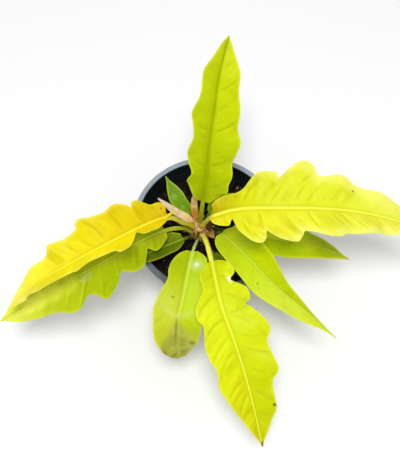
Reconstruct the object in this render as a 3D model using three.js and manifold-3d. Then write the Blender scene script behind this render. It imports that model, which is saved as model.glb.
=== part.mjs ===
// A potted golden crocodile philodendron: pot, soil, stem, twelve leaves and three dried sheaths.
// Millimetres, +Z up. The origin is the middle of the pot's underside, and -Y is the front.
import * as THREE from 'three';
import { mergeVertices } from 'three/addons/utils/BufferGeometryUtils.js';
import Module from 'manifold-3d';

const wasm = await Module();
wasm.setup();

// Driving dimensions of the pot
const POT_HEIGHT = 100;
const RIM_RADIUS = 65;
const LIP_WIDTH = 4.5;
const SKIRT_DEPTH = 10;
const SKIRT_STEP = 2;
const BASE_RADIUS = 45.5;
const WALL = 1.6;
const FLOOR = 2.4;
const CORNER = 0.9;
const NECK_RADIUS = RIM_RADIUS - CORNER - SKIRT_STEP;
const NECK_HEIGHT = POT_HEIGHT - SKIRT_DEPTH;
const POT_SIDES = 48;
const DRAIN_HOLES = 8;
const DRAIN_RADIUS = 4.5;
const DRAIN_CIRCLE = 33;
const DRAIN_SIDES = 12;

// Driving dimensions of what stands in it
const GAP = 0.3;
const SOIL_TOP = 79;
const SOIL_EDGE_DROP = 2;
const SOIL_MOUND = 1.5;
const SOIL_BUMP = 1.4;
const SOIL_HOOPS = [1, 0.94, 0.84, 0.73, 0.61, 0.48, 0.34, 0.18];
const SOIL_SECTORS = 32;
const STEM_AT = new THREE.Vector2(-5.5, -3);
const STEM_RADIUS = 7;
const STEM_FOOT = 40;
const STEM_TOP = 102;
const STEM_DOME = 5;
const STEM_SIDES = 18;
const SCAR_STEP = 4;
const SCAR_DEPTH = 0.5;
const SHEATH_STEPS = 8;
const SHEATH_SIDES = 8;

// Driving dimensions that all the leaves share
const BLADE = 0.8;
const FOOT_KNOT = 2;
const SPINE_LEAN = 0.35;
const VEIN_LEAN = 0.5;
const VEIN_FAN = 1.3;
const EDGE_STEPS = 8;
const ROW_LEAST = 1.2;
const ROW_MOST = 8;
const COLUMNS = [0, 0.3, 0.7, 1];
const BLADE_LEAD = 6;
const TIP_HALF_WIDTH = 0.4;
const FULL_WAVE_WIDTH = 12;
const SIDE_PHASE = 1.4;
const STALK_SIDES = 6;
const STALK_STEP = 8;
const STALK_FLATNESS = 0.9;
const RIB_STEP = 16;
const RIB_LENGTH = 0.93;
const RIB_THICK = 0.95;
const RIB_TAPER = 0.78;
const RIB_SINK = 0.8;
const RIB_LEAD = 1 / 6;
const SIMPLER = 0.08;

// The leaves. Each spine runs from the stem along the stalk and the midrib to the tip, and its third point
// is the foot of the blade. Each edge is a list of points, along the midrib from that foot and out from it,
// from the foot to the last one before the tip. Left and right are as seen from above, with the tip ahead.
// Rise is how steeply each half stands up from the midrib, in degrees. Wave is its height, length and start.
const LEAVES = [
  {
    name: 'leaf_01', colour: 0xb9c40c, stalk: 2.4, rise: [36, 20], wave: [1.6, 26, 0.4],
    spine: [[-5.5, -1, 98], [-4.5, -1, 118], [-3, 4, 134], [0, 15, 152], [2, 33, 176], [6, 55, 194],
      [9, 75, 205], [14, 96, 212], [18, 113, 212]],
    left: [[2, 4], [9, 9], [23, 15], [31, 12], [40, 15], [48, 16], [56, 13], [62, 13], [73, 16], [78, 16],
      [90, 12], [106, 12], [113, 10], [125, 6], [138, 2]],
    right: [[1, 5], [7, 10], [13, 15], [16, 19], [23, 19], [31, 21], [40, 20], [50, 23], [59, 25], [69, 21],
      [81, 21], [94, 18], [109, 17], [118, 13], [128, 7], [139, 2]],
  },
  {
    name: 'leaf_02', colour: 0xe3dc22, stalk: 2.7, rise: [18, 20], wave: [2.2, 34, 1.2],
    spine: [[-2.4, -5, 99], [0, -7.4, 119], [6, -12, 139], [27, -11, 150], [59, -13, 156], [91, -13, 155],
      [124, -13, 148], [159, -17, 138], [199, -26, 122]],
    left: [[1, 8], [12, 13], [23, 14], [29, 17], [36, 25], [42, 28], [53, 29], [55, 25], [58, 26],
      [65, 31], [74, 36], [81, 36], [85, 32], [89, 26], [107, 26], [119, 21], [138, 17], [156, 13],
      [176, 8], [196, 2]],
    right: [[-2, 4], [2, 9], [11, 14], [15, 14], [18, 10], [25, 23], [36, 33], [44, 35], [47, 30],
      [47, 22], [50, 25], [59, 34], [67, 36], [71, 30], [74, 24], [82, 25], [93, 30], [99, 30],
      [108, 25], [132, 21], [157, 14], [178, 8], [196, 2]],
  },
  {
    name: 'leaf_03', colour: 0xddc310, stalk: 2.7, rise: [44, 28], wave: [1.8, 24, 0],
    spine: [[-10.8, -3, 98], [-20, -9.2, 119], [-32, -14, 140], [-53, -27, 150], [-86, -47, 153],
      [-116, -62, 146], [-139, -71, 135], [-161, -87, 118]],
    left: [[6, 5], [15, 10], [26, 13], [32, 12], [34, 5], [38, 9], [46, 17], [54, 20], [58, 14], [69, 11],
      [83, 15], [91, 12], [108, 17], [121, 15], [142, 6], [155, 1.5]],
    right: [[1, 3], [1, 8], [6, 12], [12, 13], [22, 18], [27, 18], [29, 15], [31, 19], [39, 23],
      [49, 20], [58, 22], [67, 24], [72, 22], [75, 18], [93, 18], [99, 18], [105, 14], [122, 9],
      [137, 5], [155, 1.5]],
  },
  {
    name: 'leaf_04', colour: 0xa5b80e, stalk: 2.4, rise: [16, 16], wave: [1.4, 26, 0.7],
    spine: [[-12.2, -4.8, 91.5], [-21.5, -8.5, 106], [-35, -16, 118], [-56, -28, 122], [-88, -47, 120],
      [-122, -63, 111], [-152, -76, 98], [-174, -87, 88]],
    left: [[3, 8], [10, 13], [17, 15], [22, 10], [25, 14], [33, 23], [43, 22], [50, 17], [57, 26], [67, 33],
      [71, 30], [75, 24], [81, 24], [87, 30], [97, 30], [103, 26], [115, 21], [133, 17], [150, 8], [158, 2]],
    right: [[3, 8], [12, 12], [21, 15], [32, 14], [45, 20], [54, 18], [66, 24], [77, 20], [90, 22], [102, 17],
      [118, 14], [134, 9], [148, 5], [158, 2]],
  },
  {
    name: 'leaf_05', colour: 0x5e7d12, stalk: 1.8, rise: [14, 14], wave: [0.5, 20, 0],
    spine: [[-10, -8, 86], [-15, -13, 97], [-20, -18, 104], [-37, -27, 108], [-52, -34, 109], [-69, -40, 106]],
    left: [[1, 3], [9, 8], [18, 9], [27, 10], [39, 8], [48, 4]],
    right: [[1, 5], [9, 9], [20, 11], [31, 10], [43, 6], [49, 3]],
  },
  {
    name: 'leaf_06', colour: 0xb3c41c, stalk: 2.2, rise: [12, 12], wave: [1.2, 30, 0.8],
    spine: [[-6.5, -9.3, 90], [-8.6, -20, 102], [-11.6, -32, 110], [-16, -55, 114], [-20, -76, 112], [-24, -92, 104],
      [-25, -105, 88], [-25, -114, 70]],
    left: [[0, 4], [4, 10], [10, 14], [26, 17], [38, 18], [48, 21], [60, 21], [72, 19], [83, 16], [96, 9]],
    right: [[1, 5], [6, 11], [14, 15], [23, 16], [29, 15], [34, 16], [42, 19], [55, 21], [64, 20], [76, 19],
      [85, 15], [96, 8]],
  },
  {
    name: 'leaf_07', colour: 0xcfd210, stalk: 2.7, rise: [10, 10], wave: [2, 30, 0.5],
    spine: [[-4, -8, 94], [0, -26, 116], [4, -47, 127], [7, -65, 131], [12, -87, 128], [20, -108, 121],
      [29, -132, 109], [37, -158, 94], [45, -187, 74]],
    left: [[2, 5], [6, 11], [11, 15], [16, 16], [21, 12], [27, 19], [32, 23], [41, 23], [45, 18], [49, 22],
      [64, 29], [72, 29], [78, 25], [89, 25], [101, 26], [109, 20], [120, 18], [131, 17], [142, 11], [156, 2]],
    right: [[3, 4], [8, 8], [14, 12], [26, 12], [32, 16], [39, 21], [46, 22], [51, 20], [63, 24], [77, 24],
      [86, 22], [103, 23], [113, 20], [129, 14], [147, 6], [156, 2]],
  },
  {
    name: 'leaf_08', colour: 0xa2bd12, stalk: 2.2, rise: [-18, 12], wave: [0.6, 40, 0],
    spine: [[0, -5, 86], [6.5, -10, 97], [13, -16, 111], [32, -40, 123], [56, -64, 115], [82, -82, 103],
      [109, -101, 87]],
    left: [[-3, 5], [-1, 12], [8, 17], [21, 21], [36, 20], [58, 17], [81, 10], [104, 4], [126, 1]],
    right: [[0, 2], [1, 6], [7, 11], [15, 14], [31, 16], [57, 18], [77, 16], [101, 11], [126, 2.5]],
  },
  {
    name: 'leaf_09', colour: 0x7d9410, stalk: 1.9, rise: [-12, -8], wave: [0.5, 40, 0],
    spine: [[1.5, -0.5, 85], [9.5, -4.5, 95], [21, -11, 103], [42, -17, 107], [80, -23, 106], [107, -27, 100],
      [124, -32, 92]],
    left: [[0, 6], [8, 14], [25, 18], [42, 19], [59, 17], [75, 12], [90, 6], [100, 2]],
    right: [[0, 5], [10, 11], [22, 14], [50, 14], [76, 10], [90, 7], [101, 3]],
  },
  {
    name: 'leaf_10', colour: 0x6f9c14, stalk: 1.5, rise: [14, 14], wave: [0.3, 20, 0],
    spine: [[-5.5, 4, 84], [-9, 9, 92], [-14, 9.5, 98], [-22, 16, 105], [-29, 26, 111], [-36, 38, 114]],
    left: [[0.5, 2], [4, 5], [11, 7], [20, 8], [29, 5], [35, 2]],
    right: [[0.5, 2], [5, 5], [13, 6], [21, 6], [29, 4], [35, 1.5]],
  },
  {
    name: 'leaf_11', colour: 0x46701a, stalk: 1.5, rise: [12, 12], wave: [0.3, 20, 0],
    spine: [[-1, 3, 86], [1, 7, 95], [3, 9, 101], [8, 13, 107], [16, 18, 109], [24, 24, 108]],
    left: [[0.5, 3], [5, 5], [12, 6], [20, 4]],
    right: [[0.5, 4], [6, 8], [13, 8], [21, 4]],
  },
  {
    name: 'leaf_12', colour: 0x4d7416, stalk: 1.5, rise: [10, 10], wave: [0.3, 20, 0],
    spine: [[-4, -9, 85], [0, -19, 91], [6, -28, 96], [9, -38, 98], [12, -46, 99], [14, -54, 98]],
    left: [[0.5, 3], [8, 6], [16, 6], [23, 3]],
    right: [[0.5, 5], [7, 9], [14, 9], [22, 4]],
  },
];

// The dried sheaths, each with its half width and half thickness where it is widest
const SHEATHS = [
  {
    name: 'sheath_01', colour: 0xd9b48c, half: [4.2, 2.1],
    spine: [[-10.2, 0.3, 90.4], [-17, 2.6, 103], [-26, 4.1, 112], [-34, 7.9, 118], [-42, 12.8, 122]],
  },
  {
    name: 'sheath_02', colour: 0xc98a3c, half: [3.8, 1.5],
    spine: [[-7.6, 4.8, 94], [-9.6, 6.3, 103], [-10.4, 6.9, 113], [-10.6, 10.9, 121], [-10.7, 13.8, 127]],
  },
  {
    name: 'sheath_03', colour: 0x8d5a38, half: [2.8, 1.2],
    spine: [[0.8, -8.5, 95], [2.5, -10.5, 100], [4.5, -13.5, 103], [7, -17, 104]],
  },
];

const COLOUR = { pot: 0x1d2226, soil: 0x1c1612, stem: 0x8a8b3a };
const ROUGHNESS = { pot: 0.45, soil: 0.95, stem: 0.6, leaf: 0.35, sheath: 0.7 };
const UP = new THREE.Vector3(0, 0, 1);
const CURVE_SAMPLES = 24;
const WELD = 1e-3;

function finish(color, roughness) {
  return new THREE.MeshStandardMaterial({ color, roughness, metalness: 0 });
}

// A round body about the Z axis, from pairs of radius and height
function turned(profile, sides) {
  const points = profile.map(([radius, z]) => new THREE.Vector2(radius, z));
  return new THREE.LatheGeometry(points, sides).rotateX(Math.PI / 2);
}

function geometryOf(points, faces) {
  const geometry = new THREE.BufferGeometry();
  const numbers = points.flatMap((p) => [p.x, p.y, p.z]);
  geometry.setAttribute('position', new THREE.Float32BufferAttribute(numbers, 3));
  geometry.setIndex(faces.flat());
  return geometry;
}

function solidOf(geometry) {
  const bare = geometry.clone();
  bare.deleteAttribute('normal');
  bare.deleteAttribute('uv');
  const merged = mergeVertices(bare, WELD);
  return new wasm.Manifold(new wasm.Mesh({
    numProp: 3,
    vertProperties: new Float32Array(merged.attributes.position.array),
    triVerts: new Uint32Array(merged.index.array),
  }));
}

function meshOf(name, solid, material) {
  const cut = solid.getMesh();
  const geometry = new THREE.BufferGeometry();
  geometry.setAttribute('position', new THREE.Float32BufferAttribute(cut.vertProperties, 3));
  geometry.setIndex(new THREE.Uint32BufferAttribute(cut.triVerts, 1));
  geometry.computeVertexNormals();
  const mesh = new THREE.Mesh(geometry, material);
  mesh.name = name;
  return mesh;
}

// A closed body through rings of points that all run the same way round, with a fan at each end
function loft(rings) {
  const sides = rings[0].length;
  const points = rings.flat();
  const faces = [];
  for (let r = 0; r + 1 < rings.length; r += 1) {
    for (let s = 0; s < sides; s += 1) {
      const a = r * sides + s;
      const b = r * sides + ((s + 1) % sides);
      faces.push([a, b, b + sides], [a, b + sides, a + sides]);
    }
  }
  const last = (rings.length - 1) * sides;
  for (let s = 1; s + 1 < sides; s += 1) {
    faces.push([0, s + 1, s], [last, last + s, last + s + 1]);
  }
  return geometryOf(points, faces);
}

// The line of a leaf or a sheath, with its direction, the way across it and the way up from it at any length
class Spine {
  constructor(knots, foot) {
    const points = knots.map((knot) => new THREE.Vector3(...knot));
    this.curve = new THREE.CatmullRomCurve3(points, false, 'catmullrom');
    this.curve.arcLengthDivisions = (knots.length - 1) * CURVE_SAMPLES;
    this.total = this.curve.getLength();
    this.foot = this.curve.getLengths()[foot * CURVE_SAMPLES];
    this.length = this.total - this.foot;
    const heading = this.place(this.length).sub(this.place(0)).setZ(0).normalize();
    this.lean = UP.clone().addScaledVector(heading, -SPINE_LEAN);
  }

  place(along) {
    return this.curve.getPointAt(THREE.MathUtils.clamp((along + this.foot) / this.total, 0, 1));
  }

  frame(along) {
    const t = THREE.MathUtils.clamp((along + this.foot) / this.total, 0.01, 0.99);
    const ahead = this.curve.getTangentAt(t);
    const across = ahead.clone().cross(this.lean).normalize();
    return { ahead, across, up: across.clone().cross(ahead) };
  }
}

// A stalk or sheath along a spine, with its half width and half thickness at each station
function stalk(spine, stations, sides) {
  const rings = stations.map(({ along, wide, thick, sink = 0 }) => {
    const { across, up } = spine.frame(along);
    const middle = spine.place(along).addScaledVector(up, -sink);
    return Array.from({ length: sides }, (_, s) => {
      const turn = (-2 * Math.PI * (s + 0.5)) / sides;
      return middle.clone()
        .addScaledVector(across, wide * Math.cos(turn))
        .addScaledVector(up, thick * Math.sin(turn));
    });
  });
  return loft(rings);
}

// One edge of a blade. Side veins lean towards the tip and fan out at the foot. Starts are where those of the
// edge's points leave the midrib, and end gives where a side vein that leaves it at some place meets the edge.
function edgeOf(knots, length) {
  const points = [...knots, [length, TIP_HALF_WIDTH]].map(([along, out]) => new THREE.Vector3(along, out, 0));
  const curve = new THREE.CatmullRomCurve3(points, false, 'catmullrom');
  const samples = [];
  const fan = VEIN_FAN / EDGE_STEPS;
  let start = -fan;
  for (const p of curve.getPoints(knots.length * EDGE_STEPS)) {
    start = Math.max(start + fan, p.x - VEIN_LEAN * p.y);
    samples.push({ start, along: p.x, out: Math.max(p.y, TIP_HALF_WIDTH) });
  }
  const scale = length / samples.at(-1).start;
  samples.forEach((sample) => { sample.start *= scale; });
  const end = (from) => {
    const next = Math.max(1, samples.findIndex((s) => s.start >= from - WELD));
    const [p, q] = [samples[next - 1], samples[next]];
    const k = (from - p.start) / (q.start - p.start);
    return [THREE.MathUtils.lerp(p.along, q.along, k), THREE.MathUtils.lerp(p.out, q.out, k)];
  };
  return { end, starts: samples.filter((_, k) => k % EDGE_STEPS === 0).map((s) => s.start) };
}

// Where the rows of a blade's mesh leave the midrib: at the points of both edges, with more rows in long gaps
function rowsOf(edges, length) {
  const rows = [0];
  const wanted = edges.flatMap((edge) => edge.starts).sort((a, b) => a - b);
  for (const start of wanted.filter((s) => s < length - ROW_LEAST).concat(length)) {
    const last = rows.at(-1);
    const steps = Math.ceil((start - last) / ROW_MOST);
    if (start - last >= ROW_LEAST) {
      for (let k = 1; k <= steps; k += 1) {
        rows.push(last + ((start - last) * k) / steps);
      }
    }
  }
  return rows;
}

// The blade as a thin waved plate. Both faces have the same rows, columns and diagonals.
function blade(leaf, spine) {
  const edges = [leaf.left, leaf.right].map((knots) => edgeOf(knots, spine.length));
  const [height, pitch, phase] = leaf.wave;
  const columns = [...COLUMNS.slice(1).reverse().map((c) => -c), ...COLUMNS];
  const rings = rowsOf(edges, spine.length).map((start) => {
    const top = [];
    const under = [];
    for (const column of columns) {
      const side = column < 0 ? 0 : 1;
      const [tip, width] = edges[side].end(start);
      const out = Math.abs(column);
      const along = start + (tip - start) * out;
      const inside = Math.max(along, BLADE_LEAD);
      const { ahead, across, up } = spine.frame(inside);
      const rise = THREE.MathUtils.degToRad(leaf.rise[side]);
      const fade = Math.min(1, width / FULL_WAVE_WIDTH);
      const turn = (2 * Math.PI * along) / pitch + phase + SIDE_PHASE * side;
      const ripple = height * fade * out ** 2 * Math.sin(turn);
      const point = spine.place(inside)
        .addScaledVector(ahead, along - inside)
        .addScaledVector(across, width * column)
        .addScaledVector(up, width * out * Math.tan(rise) + ripple);
      const half = BLADE / 2 / Math.cos(rise);
      top.push(point.clone().addScaledVector(up, half));
      under.push(point.clone().addScaledVector(up, -half));
    }
    return [...top, ...under.reverse()];
  });
  return closedPlate(rings);
}

// A closed plate through rings. Half of each ring is the top face, and the rest, run back, the underside.
function closedPlate(rings) {
  const sides = rings[0].length;
  const half = sides / 2;
  const faces = [];
  const quad = (a, b, c, d) => faces.push([a, b, c], [a, c, d]);
  for (let r = 0; r + 1 < rings.length; r += 1) {
    const [here, next] = [r * sides, (r + 1) * sides];
    for (let c = 0; c + 1 < half; c += 1) {
      const mirror = sides - 1 - c;
      faces.push([here + c, here + c + 1, next + c + 1], [here + c, next + c + 1, next + c]);
      faces.push([here + mirror - 1, here + mirror, next + mirror - 1]);
      faces.push([here + mirror, next + mirror, next + mirror - 1]);
    }
    quad(here + half - 1, here + half, next + half, next + half - 1);
    quad(here + sides - 1, here, next, next + sides - 1);
  }
  const last = (rings.length - 1) * sides;
  for (let c = 0; c + 1 < half; c += 1) {
    const mirror = sides - 1 - c;
    quad(c, mirror, mirror - 1, c + 1);
    quad(last + c, last + c + 1, last + mirror - 1, last + mirror);
  }
  return geometryOf(rings.flat(), faces);
}

// A leaf in one piece. Its stalk goes on as the midrib, which thins towards the tip and stands out below.
function leafSolid(leaf) {
  const spine = new Spine(leaf.spine, FOOT_KNOT);
  const stations = [];
  const steps = Math.round(spine.foot / STALK_STEP);
  for (let k = 0; k < steps; k += 1) {
    const along = spine.foot * (k / steps - 1);
    stations.push({ along, wide: leaf.stalk, thick: leaf.stalk * STALK_FLATNESS });
  }
  const ribSteps = Math.round(spine.length / RIB_STEP);
  for (let k = 0; k <= ribSteps; k += 1) {
    const part = k / ribSteps;
    const wide = leaf.stalk * (RIB_THICK - RIB_TAPER * part ** 0.7);
    const sink = wide * RIB_SINK * Math.min(1, part / RIB_LEAD);
    stations.push({ along: spine.length * RIB_LENGTH * part, wide, thick: wide * STALK_FLATNESS, sink });
  }
  const plate = solidOf(blade(leaf, spine));
  return solidOf(stalk(spine, stations, STALK_SIDES)).add(plate).simplify(SIMPLER);
}

// A dried sheath swells from a narrower foot and comes to a point
function sheathSolid({ spine: knots, half: [wide, thick] }) {
  const spine = new Spine(knots, 0);
  const stations = Array.from({ length: SHEATH_STEPS + 1 }, (_, k) => {
    const part = k / SHEATH_STEPS;
    const swell = Math.sin(Math.PI * THREE.MathUtils.lerp(0.25, 0.98, part));
    return { along: spine.length * part, wide: wide * swell, thick: thick * swell };
  });
  return solidOf(stalk(spine, stations, SHEATH_SIDES));
}

// Radius of the pot's inner wall, which leans out evenly from the base to the neck under the skirt band
function potInside(z) {
  return THREE.MathUtils.mapLinear(z, CORNER, NECK_HEIGHT, BASE_RADIUS, NECK_RADIUS) - WALL;
}

function potSolid() {
  const mouth = RIM_RADIUS - LIP_WIDTH;
  const outside = [
    [0, 0], [BASE_RADIUS - CORNER, 0], [BASE_RADIUS, CORNER], [NECK_RADIUS, NECK_HEIGHT],
    [NECK_RADIUS + SKIRT_STEP, NECK_HEIGHT], [RIM_RADIUS, POT_HEIGHT - CORNER],
    [RIM_RADIUS - CORNER, POT_HEIGHT],
  ];
  const inside = [
    [mouth + CORNER, POT_HEIGHT], [mouth, POT_HEIGHT - CORNER], [potInside(NECK_HEIGHT), NECK_HEIGHT],
    [potInside(FLOOR), FLOOR], [0, FLOOR],
  ];
  const drill = new THREE.CylinderGeometry(DRAIN_RADIUS, DRAIN_RADIUS, 4 * FLOOR, DRAIN_SIDES);
  drill.rotateX(Math.PI / 2);
  let pot = solidOf(turned([...outside, ...inside], POT_SIDES));
  for (let h = 0; h < DRAIN_HOLES; h += 1) {
    const turn = (2 * Math.PI * h) / DRAIN_HOLES;
    const hole = drill.clone().translate(DRAIN_CIRCLE * Math.cos(turn), DRAIN_CIRCLE * Math.sin(turn), 0);
    pot = pot.subtract(solidOf(hole));
  }
  return pot;
}

// Loose potting mix: a lumpy top on a plain taper, with a hole for the stem
function soilSolid() {
  const lumps = (x, y) => {
    const clods = Math.sin(x / 4.1 + 1.3 * Math.sin(y / 6.3)) * Math.cos(y / 4.7 + Math.sin(x / 7.9));
    return SOIL_BUMP * (clods + 0.4 * Math.sin((x + y) / 2.6));
  };
  const ring = (radius, z, rough) => Array.from({ length: SOIL_SECTORS }, (_, s) => {
    const turn = (2 * Math.PI * s) / SOIL_SECTORS;
    const [x, y] = [radius * Math.cos(turn), radius * Math.sin(turn)];
    return new THREE.Vector3(x, y, z + (rough ? lumps(x, y) : 0));
  });
  const bottom = FLOOR + GAP;
  const edge = SOIL_TOP - SOIL_EDGE_DROP;
  const [outer, ...inner] = SOIL_HOOPS.map((part) => (potInside(edge) - GAP) * part);
  const rings = [ring(potInside(bottom) - GAP, bottom, false), ring(outer, edge, false)];
  for (const radius of inner) {
    rings.push(ring(radius, SOIL_TOP + SOIL_MOUND * (1 - (radius / outer) ** 2), true));
  }
  const hole = [[0, STEM_FOOT - GAP], [STEM_RADIUS + GAP, STEM_FOOT - GAP], [STEM_RADIUS + GAP, POT_HEIGHT],
    [0, POT_HEIGHT]];
  return solidOf(loft(rings)).subtract(solidOf(turned(hole, STEM_SIDES).translate(STEM_AT.x, STEM_AT.y, 0)));
}

// The crown: a short stem with rings of old leaf scars and a domed top, grown all round by a clearance
function stemSolid(grow) {
  const shoulder = STEM_TOP - STEM_DOME;
  const profile = [[0, STEM_FOOT - grow], [STEM_RADIUS + grow, STEM_FOOT - grow]];
  for (let z = SOIL_TOP; z < shoulder - SCAR_STEP / 2; z += SCAR_STEP) {
    profile.push([STEM_RADIUS + grow, z], [STEM_RADIUS + grow - SCAR_DEPTH, z + SCAR_STEP / 2]);
  }
  for (const turn of [0, Math.PI / 6, Math.PI / 3]) {
    const radius = (STEM_RADIUS - SCAR_DEPTH + grow) * Math.cos(turn);
    profile.push([radius, shoulder + (STEM_DOME + grow) * Math.sin(turn)]);
  }
  profile.push([0, STEM_TOP + grow]);
  return solidOf(turned(profile, STEM_SIDES).translate(STEM_AT.x, STEM_AT.y, 0));
}

const plant = new THREE.Group();
const clearance = stemSolid(GAP);
plant.add(meshOf('pot', potSolid(), finish(COLOUR.pot, ROUGHNESS.pot)));
plant.add(meshOf('soil', soilSolid(), finish(COLOUR.soil, ROUGHNESS.soil)));
plant.add(meshOf('stem', stemSolid(0), finish(COLOUR.stem, ROUGHNESS.stem)));
for (const leaf of LEAVES) {
  plant.add(meshOf(leaf.name, leafSolid(leaf).subtract(clearance), finish(leaf.colour, ROUGHNESS.leaf)));
}
for (const sheath of SHEATHS) {
  const solid = sheathSolid(sheath).subtract(clearance);
  plant.add(meshOf(sheath.name, solid, finish(sheath.colour, ROUGHNESS.sheath)));
}

export default plant;
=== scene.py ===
"""The looks of a potted golden crocodile philodendron: leaves, crown, dried sheaths, potting mix and pot."""

import math
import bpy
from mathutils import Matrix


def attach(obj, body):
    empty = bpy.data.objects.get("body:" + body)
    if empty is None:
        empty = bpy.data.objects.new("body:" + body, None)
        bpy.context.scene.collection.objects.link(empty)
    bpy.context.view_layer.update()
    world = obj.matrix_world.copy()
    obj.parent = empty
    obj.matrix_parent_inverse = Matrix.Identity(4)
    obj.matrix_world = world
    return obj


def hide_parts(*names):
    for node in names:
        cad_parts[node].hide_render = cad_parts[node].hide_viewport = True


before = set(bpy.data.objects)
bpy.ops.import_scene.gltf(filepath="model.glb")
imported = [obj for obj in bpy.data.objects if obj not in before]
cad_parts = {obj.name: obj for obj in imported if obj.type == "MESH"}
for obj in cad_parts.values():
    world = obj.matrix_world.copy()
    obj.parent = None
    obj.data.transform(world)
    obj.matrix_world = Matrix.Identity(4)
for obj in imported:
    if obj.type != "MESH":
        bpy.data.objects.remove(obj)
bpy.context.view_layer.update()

from types import SimpleNamespace as Values

import bpy
import numpy as np
from mathutils import Vector

MM = 0.001

# Driving dimensions of the pot and its filling, in millimetres, as in the solid model
POT_HEIGHT = 100
RIM_RADIUS = 65
LIP_WIDTH = 4.5
LIP_ROUND = 1.1
SKIRT_DEPTH = 10
SKIRT_STEP = 2
SKIRT_ROUND = 0.6
BASE_RADIUS = 45.5
BASE_EDGE = 3
WALL = 1.6
FLOOR = 2.4
FLOOR_ROUND = 1
CORNER = 0.9
BEVEL = 0.4
NECK_RADIUS = RIM_RADIUS - CORNER - SKIRT_STEP
NECK_HEIGHT = POT_HEIGHT - SKIRT_DEPTH
NECK_RISE = 0.5
NECK_FALL = 0.8
DRAIN_HOLES = 8
DRAIN_RADIUS = 4.5
DRAIN_CIRCLE = 33
DRAIN_SPARE = 2
GAP = 0.3
SOIL_TOP = 79
SOIL_EDGE_DROP = 2
SOIL_MOUND = 1.5
SOIL_BUMP = 1.4
STEM_AT = (-5.5, -3)
STEM_RADIUS = 7
STEM_FOOT = 40
STEM_TOP = 102
DOME_HEIGHT = 5
DOME_STEP = 0.5
SCARS_FROM = 77
SCAR_PITCH = 4
SCAR_DEPTH = 0.45

# How many points go round the pot, a drain hole, the potting mix and the stem
POT_SECTORS, DRAIN_SECTORS, SOIL_SECTORS, STEM_SECTORS = 192, 40, 220, 72

# Crumbs of the potting mix: how many, the least and the added size, and how far they stay from walls and stem
CRUMBS = 3400
CRUMB_SIZE = (0.45, 1.25)
CRUMB_MARGIN = 1.5

# Driving dimensions that all the leaves share
FOOT_KNOT = 2
SPINE_STEPS = 24
SPINE_REACH = 1.5
SPINE_INSIDE = (0.01, 0.99)
SPINE_LEAN = 0.35
VEIN_LEAN = 0.5
VEIN_FAN = 1.3
EDGE_STEPS = 12
BLADE_LEAD = 6
TIP_HALF_WIDTH = 0.4
FULL_WAVE_WIDTH = 12
SIDE_PHASE = 1.4
BLADE = 0.7
ROW_LEAST = 0.3
ROW_MOST = 0.85
VEIN_WIDTH = 1.5
VEIN_DEPTH = 0.36
PLEAT = 0.55
GRAIN_LEAN = 0.1
GRAIN_TURN = 0.6
GRAIN_BEND = 0.018
GRAIN_STRETCH = 0.3
CRINKLE_LENGTH = 38
HOLLOW_WIDTH = 6
SHADE_HEIGHT = 1.1
SHADE_SLOPE = 4.6
STALK_SIDES = 28
STALK_INTO = 9
CLASP_LENGTH = 8
STALK_PLACE = (9, 0, -1)
EAR_HALF = (1.5, 0.5)
EAR_MAPS = ((3, 4, 404), (0.8, 5, 0.1), (0.5,))
SHEATH_TAPER = 2.6
RIB_COLUMNS = (0, 0.5, 0.85, 1.1, 1.5, 2.2)
BLADE_COLUMNS = (0.05, 0.11, 0.18, 0.25, 0.32, 0.39, 0.46, 0.53, 0.6, 0.67, 0.74, 0.8,
                 0.86, 0.91, 0.95, 0.98, 1)
COMMON_LOOKS = dict(gain=(0.84, 0.84), pale="fcfc3c", slim=0.9, facing=(-1, 1), hollow=(0.2, 0.2), crinkle=0,
                    swell=(0.15, 0.15), ridge=0.6, top=0.6, marks=(), fringe=None,
                    fold=None, blush=None, ear=None)


LEAVES = []


def leaf(number, colour, *sizes, **looks):
    row = dict(name=f"leaf_{number:02d}", slot="leaf_" + colour, seed=number) | COMMON_LOOKS | looks
    row |= zip(("stalk", "rise", "wave", "spine", "left", "right"), sizes)
    LEAVES.append(Values(**row))


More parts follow.
